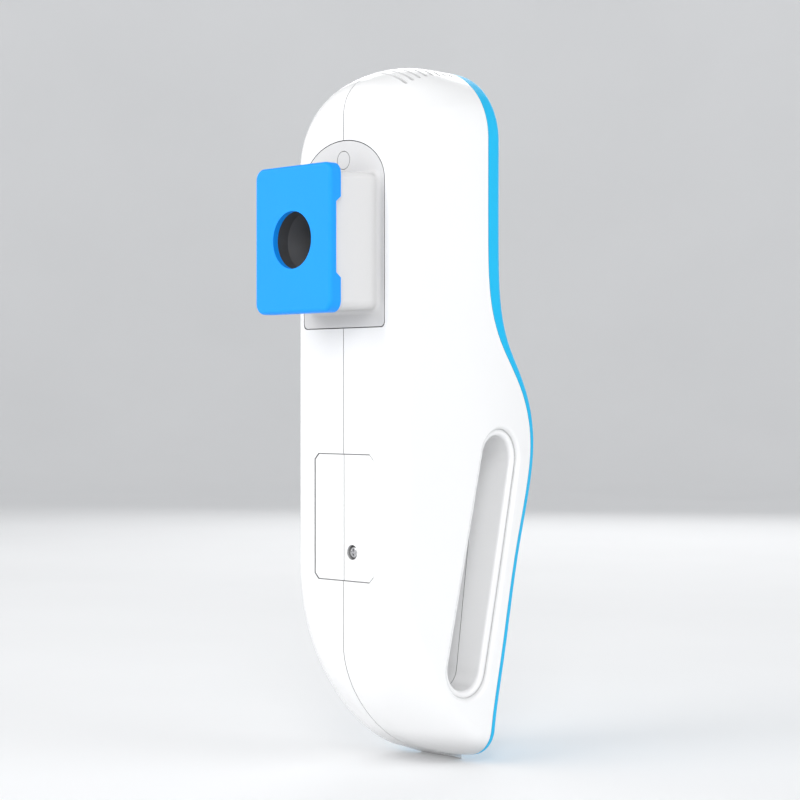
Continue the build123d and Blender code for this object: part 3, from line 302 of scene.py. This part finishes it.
def ring(centre, outer, inner, steps=40):
    """A ring as short four-cornered outlines."""
    centre = Vector(centre)
    spokes = [Vector((math.cos(a), math.sin(a))) for a in (2 * math.pi * i / steps for i in range(steps + 1))]
    return [[centre + a * inner, centre + a * outer, centre + b * outer, centre + b * inner]
            for a, b in zip(spokes, spokes[1:])]


def dot(centre, radius, steps=24):
    """A filled disc as one outline."""
    angles = [2 * math.pi * i / steps for i in range(steps)]
    return [Vector(centre) + Vector((math.cos(a), math.sin(a))) * radius for a in angles]


def digit(figure, left, low):
    """One seven-segment figure; the lit segments only."""
    corners = {"tl": (left, low + DIGIT_HEIGHT), "tr": (left + DIGIT_WIDTH, low + DIGIT_HEIGHT),
               "ml": (left, low + DIGIT_HEIGHT / 2), "mr": (left + DIGIT_WIDTH, low + DIGIT_HEIGHT / 2),
               "bl": (left, low), "br": (left + DIGIT_WIDTH, low)}
    ends = {"a": ("tl", "tr"), "b": ("tr", "mr"), "c": ("mr", "br"), "d": ("bl", "br"),
            "e": ("ml", "bl"), "f": ("tl", "ml"), "g": ("ml", "mr")}
    lit = []
    for segment in SEGMENTS_OF[figure]:
        start, end = (Vector(corners[corner]) for corner in ends[segment])
        gap = (end - start).normalized() * SEGMENT_GAP
        lit.append(bar(start + gap, end - gap, SEGMENT_HALF))
    return lit


def printed(name, outlines, centre_x, centre_z, face_y, material, body):
    """Thin ink on a face that looks towards +Y; outlines are in mm as read from behind."""
    mesh = bmesh.new()
    for outline in outlines:
        loops = [[mesh.verts.new((centre_x - p.x * MM, face_y + depth * MM, centre_z + p.y * MM))
                  for p in outline] for depth in (INK_ROOT, INK_FACE)]
        bottom, top = loops
        mesh.faces.new(top)
        mesh.faces.new(bottom[::-1])
        for i in range(len(outline)):
            j = (i + 1) % len(outline)
            mesh.faces.new((bottom[i], bottom[j], top[j], top[i]))
    bmesh.ops.recalc_face_normals(mesh, faces=mesh.faces)
    data = bpy.data.meshes.new(name)
    mesh.to_mesh(data)
    mesh.free()
    piece = bpy.data.objects.new(name, data)
    bpy.context.scene.collection.objects.link(piece)
    data.materials.append(material)
    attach(piece, body)


def middle_and_back(node):
    """A node's middle in X and Z, and its rearmost Y."""
    low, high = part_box(node)
    return (low[0] + high[0]) / 2, (low[2] + high[2]) / 2, high[1]


def make_display_marks(ink):
    """A made-up reading on the display, with a degree ring and a small cell gauge."""
    x, z, back = middle_and_back("lcd_module")
    third_left = READING_LEFT + 2 * DIGIT_PITCH
    outlines = digit("3", READING_LEFT, READING_LOW) + digit("6", READING_LEFT + DIGIT_PITCH, READING_LOW)
    outlines.append(dot((third_left - POINT_BACK, READING_LOW), POINT_R))
    outlines += digit("5", third_left + LAST_DIGIT_SHIFT, READING_LOW)
    outlines += ring(DEGREE_AT, DEGREE_R, DEGREE_HOLE_R)
    outlines += [bar(a, b, GAUGE_LINE_HALF) for a, b in zip(GAUGE, GAUGE[1:] + GAUGE[:1])]
    outlines += [bar((across, CELL_LOW), (across, CELL_HIGH), CELL_LINE_HALF) for across in CELL_LINES]
    printed("display_marks", outlines, x, z, back, ink, "body")


def make_button_marks(ink):
    """Plain signs on the buttons: a ring with a dot, two bars, and a stack of three bars."""
    signs = {
        "measure_button": ring((0, 0), 2.7, 2.2) + [dot((0, 0), 0.8)],
        "mode_button": [bar((-1.2, 0.7), (1.2, 0.7), 0.28), bar((-1.2, -0.7), (1.2, -0.7), 0.28)],
        "memory_button": [bar((-1.2, v), (1.2, v), 0.2) for v in (-0.9, 0.0, 0.9)],
    }
    for node, outlines in signs.items():
        x, z, back = middle_and_back(node)
        printed(node.replace("button", "mark"), outlines, x, z, back, ink, node + "_body")


# ------------------------------------------------------------------ floor, backdrop and light
CENTRE_R, FLOOR_R, SWEEP_R, WALL_TOP = 0.6, 2.3, 0.9, 2.6
STAGE_STEPS, SWEEP_STEPS = 96, 16
PAPER_GLOW, WORLD_STRENGTH = 0.2, 0.3
DAYLIGHT = (0.97, 0.98, 1.0, 1.0)
LIGHTS_AIM = (0.0, 0.0, 0.15)


def make_stage():
    """A pale round studio sweep: a flat floor that curves up into a wall all round."""
    profile = [(CENTRE_R, 0.0), (FLOOR_R, 0.0)]
    for i in range(1, SWEEP_STEPS + 1):
        angle = 0.5 * math.pi * i / SWEEP_STEPS
        profile.append((FLOOR_R + SWEEP_R * math.sin(angle), SWEEP_R * (1 - math.cos(angle))))
    profile.append((FLOOR_R + SWEEP_R, WALL_TOP))
    turns = [2 * math.pi * i / STAGE_STEPS for i in range(STAGE_STEPS)]
    mesh = bmesh.new()
    centre = mesh.verts.new((0, 0, 0))
    rows = [[mesh.verts.new((r * math.cos(a), r * math.sin(a), up)) for a in turns] for r, up in profile]
    for i in range(STAGE_STEPS):
        j = (i + 1) % STAGE_STEPS
        mesh.faces.new((centre, rows[0][i], rows[0][j]))
        for low, high in zip(rows, rows[1:]):
            mesh.faces.new((low[i], high[i], high[j], low[j])).smooth = True
    data = bpy.data.meshes.new("studio_sweep")
    mesh.to_mesh(data)
    mesh.free()
    sweep = bpy.data.objects.new("studio_sweep", data)
    bpy.context.scene.collection.objects.link(sweep)
    paper = Shader("studio_paper")
    mottle = paper.noise(3.0, 4.0)
    paper.set(Base_Color=paper.ramp(mottle, [(0.3, (0.66, 0.665, 0.67)), (0.7, (0.69, 0.695, 0.70))]))
    paper.set(Roughness=0.85, Emission_Color=DAYLIGHT, Emission_Strength=PAPER_GLOW)
    data.materials.append(paper.material)


def area_light(name, place, size, power, colour=(1.0, 1.0, 1.0), size_y=None):
    """A soft source at a place, turned towards the object; square unless size_y is given."""
    data = bpy.data.lights.new(name, "AREA")
    data.energy = power
    data.color = colour
    data.size = size
    if size_y:
        data.shape = "RECTANGLE"
        data.size_y = size_y
    light = bpy.data.objects.new(name, data)
    bpy.context.scene.collection.objects.link(light)
    light.location = place
    light.rotation_euler = (Vector(LIGHTS_AIM) - Vector(place)).to_track_quat("-Z", "Y").to_euler()


def make_lights():
    """Large soft sources all round the object, strongest from the front, in a dim even daylight."""
    area_light("key", (-0.35, -1.35, 0.85), 0.9, 11.5, (1.0, 0.995, 0.99), 1.2)
    area_light("strip", (1.05, -1.05, 0.75), 0.4, 10.0, size_y=1.3)
    area_light("left", (-1.4, -0.5, 0.6), 0.8, 3.5, size_y=1.2)
    area_light("fill", (1.5, 0.5, 0.75), 1.2, 8.5, (0.98, 0.99, 1.0), 1.2)
    area_light("top", (0.1, -0.1, 1.5), 1.2, 1.6)
    area_light("back_fill", (-0.9, 1.2, 0.8), 1.0, 6.0)
    world = bpy.data.worlds.new("studio_world")
    world.use_nodes = True
    background = world.node_tree.nodes["Background"]
    background.inputs["Color"].default_value = DAYLIGHT
    background.inputs["Strength"].default_value = WORLD_STRENGTH
    bpy.context.scene.world = world
    bpy.context.scene.view_settings.view_transform = "Standard"


# ------------------------------------------------------------------ make everything
make_camera()
materials = make_materials()
dress_nodes(materials)
ink = moulded_plastic("ink", (0.035, 0.04, 0.05), 0.45, 0.2, 0.004, tint=0.05)
make_display_marks(ink)
make_button_marks(ink)
make_stage()
make_lights()
